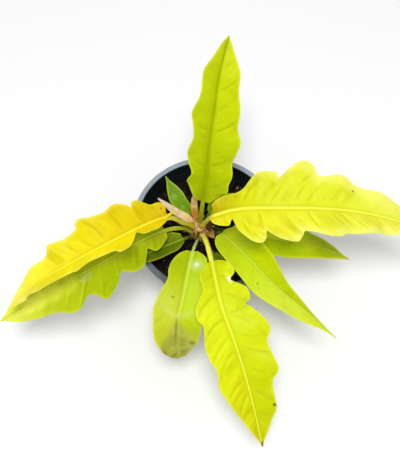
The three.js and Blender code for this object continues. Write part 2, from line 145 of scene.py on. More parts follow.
# Each leaf, in the solid model's order and sizes (millimetres and degrees): number, colour in the slot's
# name, the stalk's half width, how each half rises, the rim's wave (height, pitch, phase), the spine's knots,
# and the left and the right rim (along and out from the midrib). Then its looks, left half before right:
# tone: colours from foot to tip; veins: foot on the midrib, lean to the tip, bend and depth of each
# gain: how light each half is, where the halves differ partly painted light and shade; hollow: painted shade
# beside the midrib, painted light where below 0; facing: which way the painted shade on the veins' sides
# faces
# swell: between the veins; crinkle: of the foot; fringe: a broad pale rim's width, strength and colour
# fold: where the folded tip starts; ear: the knots of a thin curled ear at the foot
# top, ridge: the half width of the midrib's top, its height as a share of that; slim: how thin the stalk gets
# rib, stalk_tone, blush, pale: colours of the midrib, the stalk, the stalk's red side, and the rims and
# painted highlights
# marks: spots, each with its place across and along the leaf, its radius, colour and strength; some are
# painted highlights and painted light
leaf(1, "lime", 2.4, (36, 20), (1.6, 26, 0.4),
     [(-5.5, -1, 98), (-4.5, -1, 118), (-3, 4, 134), (0, 15, 152), (2, 33, 176), (6, 55, 194), (9, 75, 205),
      (14, 96, 212), (18, 113, 212)],
     [(2, 4), (9, 9), (23, 15), (31, 12), (40, 15), (48, 16), (56, 13), (62, 13), (73, 16), (78, 16),
      (90, 12), (106, 12), (113, 10), (125, 6), (138, 2)],
     [(1, 5), (7, 10), (13, 15), (16, 19), (23, 19), (31, 21), (40, 20), (50, 23), (59, 25), (69, 21),
      (81, 21), (94, 18), (109, 17), (118, 13), (128, 7), (139, 2)],
     tone=({0: "a4b800", 0.25: "b9cc00", 0.7: "c2d400", 1: "ccdc10"},
           {0: "aabf00", 0.3: "c0d200", 0.7: "cddc08", 1: "dfea30"}),
     veins=([(12, 0.3, 0.02, 0.3), (33, 0.3, 0.035, 0.5), (64, -0.3, 0.06, 0.45), (96, 0.3, 0.03, 0.25)],
            [(14, 0.1, 0.03, 0.4), (34, 0, 0.03, 1), (47, 0.2, 0.02, 0.25), (61, 0.4, 0.012, 1),
             (78, 0.3, 0.02, 0.3), (94, 0.25, 0.026, 0.9), (112, 0.4, 0.03, 0.25)]),
     facing=(-1, -1), hollow=(0.75, 0.2), crinkle=0.5, swell=(0.25, 0.5), ridge=-0.45, top=1.5, rib="a6b600",
     stalk_tone=("8a9c14", "b4c020"))
leaf(2, "gold", 2.7, (18, 20), (2.2, 34, 1.2),
     [(-4, -3.4, 101), (-0.2, -7, 118), (6, -12, 139), (27, -11, 150), (59, -13, 156), (91, -13, 155),
      (124, -13, 148), (159, -17, 138), (199, -26, 122)],
     [(1, 8), (12, 13), (23, 14), (29, 17), (36, 25), (42, 28), (53, 29), (55, 25), (58, 26), (65, 31),
      (74, 36), (81, 36), (85, 32), (89, 26), (107, 26), (119, 21), (138, 17), (156, 13), (176, 8), (196, 2)],
     [(-2, 4), (2, 9), (11, 14), (15, 14), (18, 10), (25, 23), (36, 33), (44, 35), (47, 30), (47, 22),
      (50, 25), (59, 34), (67, 36), (71, 30), (74, 24), (82, 25), (93, 30), (99, 30), (108, 25), (132, 21),
      (157, 14), (178, 8), (196, 2)],
     tone=({0: "c8a808", 0.05: "ccc008", 0.14: "dee40c", 0.5: "e8ee30", 1: "f2f66c"},
           {0: "ece41c", 0.12: "eeee28", 0.5: "ecee38", 1: "f4f264"}),
     veins=([(14, 0.1, 0.02, 0.5), (25.6, 0.13, 0.016, 0.7), (46.7, 0.35, 0.013, 1), (60, 0.4, 0.012, 0.3),
             (74.5, 0.49, 0.012, 1), (92, 0.6, 0.012, 0.3), (109, 1, 0.01, 0.4), (128, 1.2, 0.01, 0.4),
             (146, 1.4, 0, 0.3)],
            [(11, 0, 0.02, 0.6), (25.6, 0.16, 0.008, 0.6), (40.5, 0.09, 0.009, 1), (48.5, 0.14, 0.01, 0.3),
             (60, 0.15, 0.01, 0.3), (78.6, 0.16, 0.009, 0.9), (100.7, 1, 0.007, 0.7), (109.7, 1.03, 0, 1),
             (124, 1.1, 0, 0.6)]),
     gain=(0.84, 0.9), pale="f8fa60", fringe=(14, 0.62, "fffe88"), hollow=(0, 0.45), crinkle=1.2,
     swell=(1.1, 0.8), top=1.5, rib="f6fa58", stalk_tone=("dccc3c", "f6ea5c"),
     marks=[(-16, 116, 0.8, "4a5010", 0.9), (-8, 87, 0.6, "8a8c20", 0.6)])
leaf(3, "amber", 2.7, (44, 28), (1.8, 24, 0),
     [(-10.8, -3, 98), (-20, -9.2, 119), (-32, -14, 140), (-53, -27, 150), (-86, -47, 153), (-116, -62, 146),
      (-139, -71, 135), (-161, -87, 118)],
     [(6, 5), (15, 10), (26, 13), (32, 12), (34, 5), (38, 9), (46, 17), (54, 20), (58, 14), (69, 11),
      (83, 15), (91, 12), (108, 17), (121, 15), (142, 6), (155, 1.5)],
     [(1, 3), (1, 8), (6, 12), (12, 13), (22, 18), (27, 18), (29, 15), (31, 19), (39, 23), (49, 20), (58, 22),
      (67, 24), (72, 22), (75, 18), (93, 18), (99, 18), (105, 14), (122, 9), (137, 5), (155, 1.5)],
     tone=({0: "f8d800", 0.3: "fff010", 0.7: "fff428", 1: "fffc78"},
           {0: "e2c412", 0.2: "e4ce08", 0.45: "eadc06", 0.75: "fcf23c", 1: "fffe88"}),
     veins=([(14, 0.2, 0.01, 0.4), (32, 0.3, 0.01, 0.8), (48, 0.4, 0.01, 0.4), (66, 0.4, 0.01, 0.5),
             (86, 0.4, 0.01, 0.4), (106, 0.4, 0.01, 0.3)],
            [(10, 0.1, 0.01, 0.6), (23.8, 0.29, -0.004, 1), (41.6, 0.21, 0.003, 0.8), (59, -0.09, 0.022, 1),
             (68, 0.68, 0.015, 0.7), (79, 0.62, 0.011, 1), (98, 0.5, 0.02, 0.7), (112, 0.6, 0.02, 0.5),
             (126, 0.7, 0.02, 0.4)]),
     gain=(0.9, 0.85), pale="fcf024", fringe=(4.5, 0.5, "fcf478"), facing=(1, 1), hollow=(0.1, 0.1),
     crinkle=1, swell=(0.6, 0.95), top=1.15, rib="f8ee40", stalk_tone=("ccc02c", "f0e258"),
     ear=[(-35.4, -15.8, 142), (-30.9, -13.2, 143.5), (-27.3, -10.1, 142), (-24.7, -7.4, 140)],
     marks=[(7, 5, 1.2, "a04818", 0.6), (3.5, 1.5, 1.3, "8c4018", 0.5)])
leaf(4, "green", 2.4, (16, 16), (1.4, 26, 0.7),
     [(-12.2, -4.8, 91.5), (-21.5, -8.5, 106), (-35, -16, 118), (-56, -28, 122), (-88, -47, 120),
      (-122, -63, 111), (-152, -76, 98), (-174, -87, 88)],
     [(3, 8), (10, 13), (17, 15), (22, 10), (25, 14), (33, 23), (43, 22), (50, 17), (57, 26), (67, 33),
      (71, 30), (75, 24), (81, 24), (87, 30), (97, 30), (103, 26), (115, 21), (133, 17), (150, 8), (158, 2)],
     [(3, 8), (12, 12), (21, 15), (32, 14), (45, 20), (54, 18), (66, 24), (77, 20), (90, 22), (102, 17),
      (118, 14), (134, 9), (148, 5), (158, 2)],
     tone=({0: "a0b400", 0.3: "aec202", 0.5: "b4c806", 0.72: "d0e024", 1: "ffff70"},
           {0: "a4b800", 0.6: "b2c604", 0.9: "dcea40", 1: "ecfa60"}),
     veins=([(14, 0.2, 0.01, 0.5), (30, 0.3, 0.01, 0.6), (47.5, 0.4, -0.008, 0.8), (62, 0.26, 0, 0.4),
             (74.2, 0.45, 0, 1), (91, 0.12, 0.01, 0.5), (108, 0.4, 0.01, 0.3), (126, 0.5, 0.01, 0.2)],
            [(30, 0.3, 0.01, 0.3), (60, 0.4, 0.01, 0.3), (90, 0.5, 0.01, 0.3)]),
     # Painted light: the negative hollow and the four broad pale marks at -4 across, 92 to 132 along, lighten
     # the strip where leaf_03's shadow falls
     gain=(0.84, 0.9), facing=(1, 1), hollow=(-0.9, -0.4), crinkle=0.6, swell=(0.55, 0.4), ridge=0.5,
     top=0.95, rib="c8da40", stalk_tone=("a6b61e", "ccdc40"),
     marks=[(-4, 92, 10, "e4f040", 0.45), (-4, 107, 10, "f2fa50", 0.7), (-4, 120, 9, "fafe58", 0.8),
            (-4, 132, 9, "fcff60", 0.8), (-5, 77, 6, "dce89c", 0.2), (-6.5, 81, 1.8, "eef0c8", 0.3),
            (-2.5, 73, 1.5, "e8f0b0", 0.3)])
leaf(5, "dark", 1.8, (14, 14), (0.5, 20, 0),
     [(-10, -8, 86), (-15, -13, 97), (-20, -18, 104), (-37, -27, 108), (-52, -34, 109), (-69, -40, 106)],
     [(1, 3), (9, 8), (18, 9), (27, 10), (39, 8), (48, 4)],
     [(1, 5), (9, 9), (20, 11), (31, 10), (43, 6), (49, 3)],
     tone=({0: "6e8406", 1: "4c6203"}, {0: "788c0c", 1: "566c05"}),
     veins=([(12, 0.3, 0.02, 0.3), (30, 0.4, 0.02, 0.2)], [(8, 0.3, 0.02, 0.25), (25, 0.4, 0.02, 0.2)]),
     facing=(1, 1), crinkle=0.2, swell=(0.12, 0.12), ridge=0.4, top=0.9, rib="94b42c",
     stalk_tone=("525c18", "78842c"))
leaf(6, "green", 2.2, (12, 12), (1.2, 30, 0.8),
     [(-6.5, -9.3, 90), (-8.6, -20, 102), (-11.6, -32, 110), (-16, -55, 114), (-20, -76, 112),
      (-24, -92, 104), (-25, -105, 88), (-25, -114, 70)],
     [(0, 4), (4, 10), (10, 14), (26, 17), (38, 18), (48, 21), (60, 21), (72, 19.5), (83, 17.3), (91, 14),
      (98, 11.5), (103, 7)],
     [(1, 5), (6, 11), (14, 15), (23, 16), (29, 15), (34, 16), (42, 19), (55, 21), (64, 20), (76, 19),
      (85, 15), (96, 8)],
     tone=({0: "bcd818", 0.3: "cce834", 0.5: "cee630", 0.64: "c6d80c", 1: "b4c01c"},
           {0: "b0c804", 0.3: "bed214", 0.55: "d0dc3c", 0.7: "cad22a", 1: "b8b830"}),
     veins=([(12, 0.3, 0.015, 0.3), (26, 0.3, 0.015, 0.4), (41, 0.4, 0.015, 0.3), (55, 0.4, 0.02, 0.3)],
            [(10, 0.3, 0.015, 0.3), (24, 0.3, 0.015, 0.4), (38, 0.4, 0.015, 0.3), (54, 0.4, 0.02, 0.3)]),
     hollow=(0.1, 0.1), crinkle=0.3, swell=(0.3, 0.4), top=1.65, rib="d8ee58",
     stalk_tone=("a0ac40", "dce494"), fold=60, slim=0.7,
     # The second and third marks are a painted highlight: a soft glow with a bright glare spot in it
     marks=[(8, 44.5, 1.5, "5c5c18", 0.45), (-5.2, 13.5, 6.5, "dcf49c", 0.5),
            (-5.7, 13.2, 2.2, "f4fff0", 0.85), (13, 91, 3.4, "5c5418", 0.5), (-12.5, 84, 2.8, "5c5418", 0.5),
            (5, 97, 3, "6c6420", 0.4), (-6, 97, 3, "6c6420", 0.4)])
leaf(7, "lime", 2.7, (10, 10), (2, 30, 0.5),
     [(-4, -8, 94), (0, -26, 116), (4, -47, 127), (7, -65, 131), (12, -87, 128), (20, -108, 121),
      (29, -132, 109), (37, -158, 94), (45, -187, 74)],
     [(2, 5), (6, 11), (11, 15), (16, 16), (21, 12), (27, 19), (32, 23), (41, 23), (45, 18), (49, 22),
      (64, 29), (72, 29), (78, 25), (89, 25), (101, 26), (109, 20), (120, 18), (131, 17), (142, 11),
      (156, 2)],
     [(3, 4), (8, 8), (14, 12), (26, 12), (32, 16), (39, 21), (46, 22), (51, 20), (63, 24), (77, 24),
      (86, 22), (103, 23), (113, 20), (129, 14), (147, 6), (156, 2)],
     tone=({0: "d4e204", 0.3: "dcea18", 0.7: "d0de02", 1: "c6cc02"},
           {0: "cad804", 0.3: "dce81c", 0.6: "dce410", 1: "cccf02"}),
     veins=([(14, 0.2, 0.02, 0.6), (30, 0.1, 0.02, 0.6), (46.2, 0.2, -0.01, 1), (49, 0.02, 0.034, 0.4),
             (72, 0.79, -0.008, 0.9), (90, 0.6, 0, 0.3), (108.3, 0.68, 0.008, 0.7), (126, 0.7, 0.01, 0.3)],
            [(15, 0.3, 0.02, 0.7), (31.3, 0.25, 0.02, 0.8), (52.6, -0.09, 0.022, 1), (66, 0.1, 0.03, 0.3),
             (80.2, -0.47, 0.061, 1), (92, 0, 0.04, 0.3), (101.3, 0.34, 0.02, 0.6), (113.6, 0.27, 0.09, 0.9),
             (126, 0.4, 0.06, 0.5), (138, 0.5, 0.05, 0.4)]),
     gain=(0.85, 0.91), hollow=(0.05, 0.6), crinkle=1.3, swell=(0.6, 0.9), top=1.35, rib="f0f64c",
     stalk_tone=("f0ec40", "fcfc74"), blush="b06c1c",
     # The three near-white marks at 20 to 23 along are a painted highlight, a glint by the edge
     marks=[(-16, 127, 1.5, "4a4008", 0.8), (-10.4, 19.8, 1.9, "fffff0", 0.8),
            (-11, 21.4, 1.9, "fffff0", 0.8), (-11.7, 23.2, 1.7, "fcfcc0", 0.6), (-11, 46, 1.5, "b4c81c", 0.4),
            (-0.5, 160, 4, "6a5020", 0.8)])
leaf(8, "green", 2.2, (-18, 12), (0.6, 40, 0),
     [(0, -5, 86), (6.5, -10, 97), (13, -16, 111), (32, -40, 123), (56, -64, 115), (82, -82, 103),
      (109, -101, 87)],
     [(-3, 5), (-1, 12), (8, 17), (21, 21), (36, 20), (58, 17), (81, 10), (104, 4), (126, 1)],
     [(0, 2), (1, 6), (7, 11), (15, 14), (31, 16), (57, 18), (77, 16), (101, 11), (126, 2.5)],
     tone=({0: "b8ca0c", 0.4: "bcd006", 0.85: "b8c400", 1: "b8b410"},
           {0: "b8d00a", 0.35: "cee420", 0.6: "dcee44", 1: "d8e40c"}),
     veins=([(14, 0.5, 0.01, 0.3), (40, 0.6, 0.01, 0.3), (66, 0.6, 0.01, 0.25)],
            [(20, 0.5, 0.01, 0.3), (46, 0.6, 0.01, 0.3), (72, 0.6, 0.01, 0.25)]),
     gain=(0.95, 0.86), hollow=(0.1, 0.3), crinkle=0.1, swell=(0.15, 0.2), ridge=0.5, top=0.75, rib="c4de58",
     stalk_tone=("4c5214", "6c7424"),
     marks=[(10, 57, 0.9, "6a8020", 0.7)])
leaf(9, "olive", 1.9, (-12, -8), (0.5, 40, 0),
     [(1.5, -0.5, 85), (9.5, -4.5, 95), (21, -11, 103), (42, -17, 107), (80, -23, 106), (107, -27, 100),
      (124, -32, 92)],
     [(0, 6), (8, 14), (25, 18), (42, 19), (59, 17), (75, 12), (90, 6), (100, 2)],
     [(0, 5), (10, 11), (22, 14), (50, 14), (76, 10), (90, 7), (101, 3)],
     tone=({0: "ccdc14", 0.45: "c4d810", 0.66: "9aac08", 1: "7e8620"},
           {0: "b0c806", 0.5: "b4cc0a", 0.72: "9cb008", 1: "a0ac24"}),
     veins=2 * [[(18, 0.5, 0.01, 0.3), (40, 0.6, 0.01, 0.3), (64, 0.6, 0.01, 0.25)]],
     gain=(1.02, 0.92), hollow=(0.1, 0.2), crinkle=0.1, swell=(0.15, 0.2), ridge=0.4, top=0.7, rib="b0c440",
     stalk_tone=("3c4410", "586020"))
leaf(10, "dark", 1.5, (14, 14), (0.3, 20, 0),
     [(-5.5, 4, 84), (-9, 9, 92), (-14, 9.5, 98), (-22, 16, 105), (-29, 26, 111), (-36, 38, 114)],
     [(0.5, 2), (4, 5), (11, 7), (20, 8), (29, 5), (35, 2)],
     [(0.5, 2), (5, 5), (13, 6), (21, 6), (29, 4), (35, 1.5)],
     tone=({0: "74a408", 0.5: "80ac1e", 1: "608818"}, {0: "6c9c08", 0.5: "78a41a", 1: "5c8414"}),
     veins=2 * [[(9, 0.5, 0.02, 0.25), (20, 0.5, 0.02, 0.25)]],
     facing=(-1, -1), ridge=0.3, rib="7cac28", stalk_tone=("6f9018", "90b030"),
     # Both marks are painted highlights, pale glints on the blade
     marks=[(-2.4, 21, 3, "a4cc78", 0.4), (-1.4, 9, 2.2, "9cc868", 0.35)])
leaf(11, "dark", 1.5, (12, 12), (0.3, 20, 0),
     [(-1, 3, 86), (1, 7, 95), (3, 9, 101), (8, 13, 107), (16, 18, 109), (24, 24, 108)],
     [(0.5, 3), (5, 5), (12, 6), (20, 4)], [(0.5, 4), (6, 8), (13, 8), (21, 4)],
     tone=({0: "90bc0c", 1: "84ac0c"}, {0: "98c40c", 1: "8ab40c"}),
     veins=2 * [[(9, 0.5, 0.02, 0.25)]],
     facing=(-1, -1), ridge=0.3, rib="688c24", stalk_tone=("5f8018", "80a030"))
leaf(12, "dark", 1.5, (10, 10), (0.3, 20, 0),
     [(-4, -9, 85), (0, -19, 91), (6, -28, 96), (9, -38, 98), (12, -46, 99), (14, -54, 98)],
     [(0.5, 3), (8, 6), (16, 6), (23, 3)], [(0.5, 5), (7, 9), (14, 9), (22, 4)],
     tone=({0: "5c8010", 1: "4c6c10"}, {0: "688c14", 1: "547410"}),
     veins=2 * [[(9, 0.5, 0.02, 0.25)]],
     facing=(-1, -1), ridge=0.3, rib="6c8c20", stalk_tone=("5f8018", "80a030"))

# The dried sheaths: half width and thickness, colours of the foot, blotches, streaks and tip, the spine's
# knots, and, where it isn't as usual, how bluntly one ends and which way it faces
SHEATHS = [
    Values(name="sheath_01", slot="sheath_pale", seed=21, half=(4.3, 1.9),
           colours=("f6d894", "bc9c78", "f8ecd0", "d4b898"),
           spine=[(-10.2, 0.3, 90.4), (-17, 2.6, 103), (-26, 4.1, 112), (-34, 7.9, 118), (-42, 12.8, 122)]),
    Values(name="sheath_02", slot="sheath_tan", seed=22, half=(3.3, 1.5), taper=6, front=(0, -1, 0.3),
           colours=("dc9430", "a0641c", "f0cc84", "dcb87c"),
           spine=[(-7.6, 4.8, 94), (-9.6, 6.3, 103), (-10.4, 6.9, 113), (-10.6, 10.9, 121),
                  (-10.7, 13.8, 127)]),
    Values(name="sheath_03", slot="sheath_brown", seed=23, half=(3.9, 1.2),
           colours=("8c5c2c", "483014", "c09858", "ac8044"),
           spine=[(0.8, -8.5, 95), (2.5, -10.5, 100), (4.5, -13.5, 103), (7, -17, 104)]),
]
# Small dry scales and fibres round the crown: the turns and heights that they start between, and their number
SCALES = [(-100, 10, 92, 101, 46), (165, 215, 90, 96, 10), (20, 150, 93, 99, 6)]
SCALE_LENGTH = (4.5, 10.5)
SCALE_INSET = 1.2

# The camera, and the soft light over the plant, in millimetres, degrees and watts
CAMERA_TARGET = Vector((-5.52, -6.09, 100))
CAMERA_ELEVATION = 66
CAMERA_DISTANCE = 650
CAMERA_LENS = 58.53
CAMERA_SENSOR = 36
LAMP_PLACE = Vector((-20, -340, 1350))
LAMP_WIDTH = 330
LAMP_POWER = 10.6
SKY_STRENGTH = 0.63
FLOOR_REACH = 3000
FLOOR_COLOUR = (0.93, 0.93, 0.94, 1)


def linear(hex_colour):
    """The linear red, green, blue and alpha of a colour written as six hex digits."""
    parts = [int(hex_colour[k:k + 2], 16) / 255 for k in (0, 2, 4)]
    return tuple(p / 12.92 if p <= 0.04045 else ((p + 0.055) / 1.055) ** 2.4 for p in parts) + (1.0,)


def smoothstep(low, high, x):
    t = np.clip((x - low) / (high - low), 0, 1)
    return t * t * (3 - 2 * t)


def lattice(at, seed):
    """A repeatable random number from 0 to 1 for each whole-numbered point."""
    h = at @ [374761393, 668265263, 2147483647] + seed * 1274126177
    h = (h ^ (h >> 13)) * 1274126177
    return ((h ^ (h >> 16)) & 0xFFFFFF) / 0xFFFFFF


def noise(points, scale, seed=0):
    """Smooth noise from -1 to 1 at the points of an array, with lumps of about that size."""
    p = np.asarray(points, float) / scale
    base = np.floor(p).astype(np.int64)
    t = p - base
    t = t * t * (3 - 2 * t)
    total = 0
    for corner in np.ndindex(2, 2, 2):
        total = total + np.prod(np.where(corner, t, 1 - t), axis=-1) * lattice(base + corner, seed)
    return 2 * total - 1


def catmull(points, steps):
    """A smooth line through points, as a dense array."""
    p = np.asarray(points, float)
    p = np.vstack([2 * p[0] - p[1], p, 2 * p[-1] - p[-2]])
    t = (np.arange(steps) / steps)[:, None]
    parts = [0.5 * (2 * b + (c - a) * t + (2 * a - 5 * b + 4 * c - d) * t**2 + (3 * b - a - 3 * c + d) * t**3)
             for a, b, c, d in zip(p, p[1:], p[2:], p[3:])]
    return np.vstack(parts + [p[-2:-1]])


def unit(v):
    return v / np.maximum(np.linalg.norm(v, axis=-1, keepdims=True), 1e-12)


def circle(count, way=1):
    """Points round a circle of radius 1, anticlockwise or, for a way of -1, clockwise."""
    turn = way * 2 * math.pi * np.arange(count) / count
    return np.stack([np.cos(turn), np.sin(turn)], axis=-1)


def level_rings(radii, heights, flat, centre=(0, 0)):
    """Rings of points about an upright line, from the radius and the height of each."""
    flat = np.array(centre) + np.reshape(radii, (-1, 1, 1)) * flat
    return np.concatenate([flat, np.tile(np.reshape(heights, (-1, 1, 1)), (flat.shape[1], 1))], axis=-1)


def loft(rings):
    """Points and faces of a closed body through rings of points, with a point in the middle of each end."""
    count, sides = rings.shape[:2]
    points = np.vstack([rings.reshape(-1, 3), rings[0].mean(0), rings[-1].mean(0)])
    index = np.arange(count * sides).reshape(count, sides)
    turned = np.roll(index, -1, axis=1)
    quads = np.stack([index[:-1], turned[:-1], turned[1:], index[1:]], axis=-1).reshape(-1, 4)
    first, last = count * sides, count * sides + 1
    caps = [(first, b, a) for a, b in zip(index[0], turned[0])]
    caps += [(last, a, b) for a, b in zip(index[-1], turned[-1])]
    return points, quads.tolist() + caps


def joined(bodies):
    """The points and faces of several bodies as one, from each one's points and faces."""
    points = []
    faces = []
    shift = 0
    for body, sides in bodies:
        points.append(body)
        faces += [[shift + int(i) for i in side] for side in sides]
        shift += len(body)
    return np.vstack(points), faces


class Spine:
    """The line of a leaf or a sheath, with its direction, the way across it and the way up at any length."""

    def __init__(self, knots, foot):
        self.line = catmull(knots, SPINE_STEPS)
        self.lengths = np.concatenate([[0], np.cumsum(np.linalg.norm(np.diff(self.line, axis=0), axis=1))])
        self.total = self.lengths[-1]
        self.foot = self.lengths[foot * SPINE_STEPS]
        self.length = self.total - self.foot
        heading = self.place(self.length) - self.place(0)
        heading[2] = 0
        self.lean = np.array([0, 0, 1.0]) - SPINE_LEAN * unit(heading)

    def place(self, along):
        at = np.clip(np.asarray(along, float) + self.foot, 0, self.total)
        return np.stack([np.interp(at, self.lengths, self.line[:, k]) for k in range(3)], axis=-1)

    def frame(self, along):
        low, high = (share * self.total - self.foot for share in SPINE_INSIDE)
        at = np.clip(along, low, high)
        ahead = unit(self.place(at + SPINE_REACH) - self.place(at - SPINE_REACH))
        across = unit(np.cross(ahead, self.lean))
        return ahead, across, np.cross(across, ahead)


def edge_of(points, length):
    """Where side veins start on the midrib, and where each meets the edge, along and out from the midrib."""
    curve = catmull(list(points) + [(length, TIP_HALF_WIDTH)], EDGE_STEPS)
    fan = VEIN_FAN / EDGE_STEPS
    starts = []
    start = -fan
    for along, out in curve:
        start = max(start + fan, along - VEIN_LEAN * out)
        starts.append(start)
    starts = np.array(starts) * length / starts[-1]
    return starts, curve[:, 0], np.maximum(curve[:, 1], TIP_HALF_WIDTH)


def rows_of(edges, length):
    """The places on the midrib that get a row of the mesh, close together where the edge turns quickly."""
    wanted = np.sort(np.concatenate([edge[0] for edge in edges]))
    rows = [0.0]
    for start in [s for s in wanted if s < length - ROW_LEAST] + [length]:
        last = rows[-1]
        if start - last >= ROW_LEAST:
            steps = math.ceil((start - last) / ROW_MOST)
            rows.extend(last + (start - last) * (k + 1) / steps for k in range(steps))
    return np.array(rows)


def vein_dip(veins, out, along):
    """How deep the side veins lie at each point, from 0 to 1."""
    dip = np.zeros(out.shape)
    for foot, lean, bend, depth in veins:
        slope = lean + 2 * bend * out
        away = (along - foot - lean * out - bend * out**2) / np.sqrt(1 + slope**2)
        dip = np.maximum(dip, depth * np.exp(-((away / VEIN_WIDTH) ** 2)))
    return dip


def blade_relief(look, side, flat, share, part, crown_share):
    """The swells, dips and crinkles of half a blade, the painted shade and highlight that follow them, and
    the grain's line.
    """
    seed = look.seed
    out, along = np.abs(flat[..., 0]), flat[..., 1]
    grain = along - (GRAIN_LEAN + GRAIN_TURN * part**2) * out - GRAIN_BEND * out**2
    pleat = np.stack([grain, GRAIN_STRETCH * out, np.full_like(out, 10.0 * seed + 5 * side)], axis=-1)
    folds = noise(pleat, 8, seed + 20) + 0.4 * noise(pleat, 3.5, seed + 60)
    spread = smoothstep(0.0, 0.3, crown_share) * (1 - 0.4 * smoothstep(0.7, 1.0, crown_share))
    dip = vein_dip(look.veins[side], out, along)
    crinkle = 0.15 + 0.45 * look.crinkle * np.exp(-((along / CRINKLE_LENGTH) ** 2))
    fade = np.minimum(1, out[:, -1:] / FULL_WAVE_WIDTH)
    crinkle = crinkle * share**1.5 * fade * noise(flat, 5, seed + 80)
    relief = spread * (PLEAT * look.swell[side] * folds - VEIN_DEPTH * dip) + crinkle
    # Painted shade and highlight: darker in the dips, on slopes facing away from the light and beside the
    # midrib by hollow, paler on crests and slopes facing the light
    slope = np.gradient(relief, axis=0) / np.maximum(np.gradient(along, axis=0), 0.1)
    shade = SHADE_HEIGHT * relief + SHADE_SLOPE * look.facing[side] * slope
    shade = np.clip(shade - look.hollow[side] * np.exp(-((out / HOLLOW_WIDTH) ** 2)), -1, 1)
    return relief, shade, grain


def blade_half(look, spine, rows, edge, side):
    """One half of the blade: its top and under points and, at each, what the material needs."""
    start = rows[:, None]
    tip, width = (np.interp(rows, edge[0], reach)[:, None] for reach in edge[1:])
    part = start / spine.length
    rib = np.minimum(look.stalk * (0.95 - 0.78 * np.clip(part, 0, 1) ** 0.7), 0.4 * width)
    crown = np.minimum(look.top * (1 - 0.62 * part**0.8), 0.25 * width)
    inner = crown * np.array(RIB_COLUMNS)
    first = inner[:, -1:]
    out = np.hstack([inner, first + (width - first) * np.array(BLADE_COLUMNS)])
    share = out / width
    along = start + (tip - start) * share
    inside = np.maximum(along, BLADE_LEAD)
    ahead, across, up = spine.frame(inside)
    sign = 1 if side else -1
    flat = np.stack([sign * out, along, np.full_like(out, 10.0 * look.seed)], axis=-1)

    crown_share = np.clip((out - crown) / (width - crown), 0, 1)
    relief, shade, grain = blade_relief(look, side, flat, share, part, crown_share)
    height, pitch, phase = look.wave
    fade = np.minimum(1, width / FULL_WAVE_WIDTH)
    wave = height * fade * share**2 * np.sin(2 * math.pi * along / pitch + phase + SIDE_PHASE * side)
    rise = math.tan(math.radians(look.rise[side])) * out
    drift = 0.7 * noise(flat, 24, look.seed) * share + 0.25 * noise(flat, 9, look.seed + 40) * share
    sheet = rise + wave + relief + drift

    across_crown = out / crown
    ridge = look.ridge * crown * np.clip(1 - across_crown**2, 0, 1) ** 0.8
    groove = -0.22 * crown * np.exp(-(((across_crown - 1.45) / 0.5) ** 2)) * (1 if look.ridge > 0 else 0)
    top = sheet + ridge + groove + BLADE / 2
    keel = rib * 1.2 * np.sqrt(np.clip(1 - (out / rib / 1.1) ** 2, 0, 1)) * smoothstep(1.02, 0.9, part)
    under = sheet - BLADE * (0.5 - 0.45 * share**8) - keel
    middle = spine.place(inside) + ahead * (along - inside)[..., None] + across * (sign * out)[..., None]
    leaf_map = np.stack([sign * out, along, grain + 400 * side], axis=-1)
    place_map = np.stack([(width - out) * 0.87, across_crown, along / spine.length], axis=-1)
    return middle + up * top[..., None], middle + up * under[..., None], leaf_map, place_map, shade[..., None]


def blade_parts(look, spine):
    """The blade's points, faces and maps, with both halves side by side."""
    edges = [edge_of(rim, spine.length) for rim in (look.left, look.right)]
    rows = rows_of(edges, spine.length)
    halves = [blade_half(look, spine, rows, edges[side], side) for side in (0, 1)]
    top, under, *maps = (np.concatenate([left[:, :0:-1], right], axis=1) for left, right in zip(*halves))
    index = np.arange(top[..., 0].size).reshape(top.shape[:2])
    low = index + index.size

    def sheet(grid):
        return np.stack([grid[:-1, :-1], grid[:-1, 1:], grid[1:, 1:], grid[1:, :-1]], axis=-1).reshape(-1, 4)

    def strip(first, second):
        return sheet(np.stack([first, second], axis=1))

    faces = [sheet(index), sheet(low)[:, ::-1], strip(low[:, 0], index[:, 0]),
             strip(index[:, -1], low[:, -1]), strip(low[0], index[0])[:, ::-1], strip(low[-1], index[-1])]
    points = np.concatenate([top.reshape(-1, 3), under.reshape(-1, 3)])
    maps = [np.concatenate([m.reshape(-1, m.shape[-1])] * 2) for m in maps]
    return points, np.concatenate(faces).tolist(), maps


def bar(rings, wide, along, third):
    """The points and faces of a closed body through rings, and its map: across, along and a third measure."""
    columns = [np.tile(wide, len(along)), np.repeat(along, len(wide)), np.repeat(third, len(wide))]
    ends = [[0, along[k], third[k]] for k in (0, -1)]
    return *loft(rings), np.vstack([np.stack(columns, axis=-1), ends])


def stalk_parts(look, spine):
    """The stalk: a rounded bar with a shallow channel on top, wider where it clasps the stem."""
    along = np.concatenate([np.linspace(-spine.foot, 0, int(spine.foot) + 2), np.linspace(1, STALK_INTO, 8)])
    ahead, across, up = spine.frame(along)
    from_stem = along + spine.foot
    clasp = 0.45 * np.exp(-((from_stem / CLASP_LENGTH) ** 2))
    radius = look.stalk * (0.9 + clasp + 0.04 * np.sin(from_stem / 3.0))
    radius = radius * (1 - 0.35 * np.clip(along / STALK_INTO, 0, 1))
    radius = radius * (1 - (1 - look.slim) * smoothstep(2, 8, from_stem))
    sink = look.stalk * (0.75 * smoothstep(-3, 5, along))
    wide, thick = circle(STALK_SIDES, -1).T
    channel = 0.28 * np.exp(-((wide / 0.45) ** 2)) * (thick > 0)
    thick = np.where(thick > 0, 0.75 * thick - channel, thick)
    rings = (spine.place(along) - up * sink[:, None])[:, None] + radius[:, None, None] * (
        across[:, None] * wide[None, :, None] + up[:, None] * thick[None, :, None] * 0.9)
    points, faces, leaf_map = bar(rings, wide * look.stalk, along, from_stem)
    return points, faces, [leaf_map, np.tile(STALK_PLACE, (len(points), 1)), np.zeros((len(points), 1))]


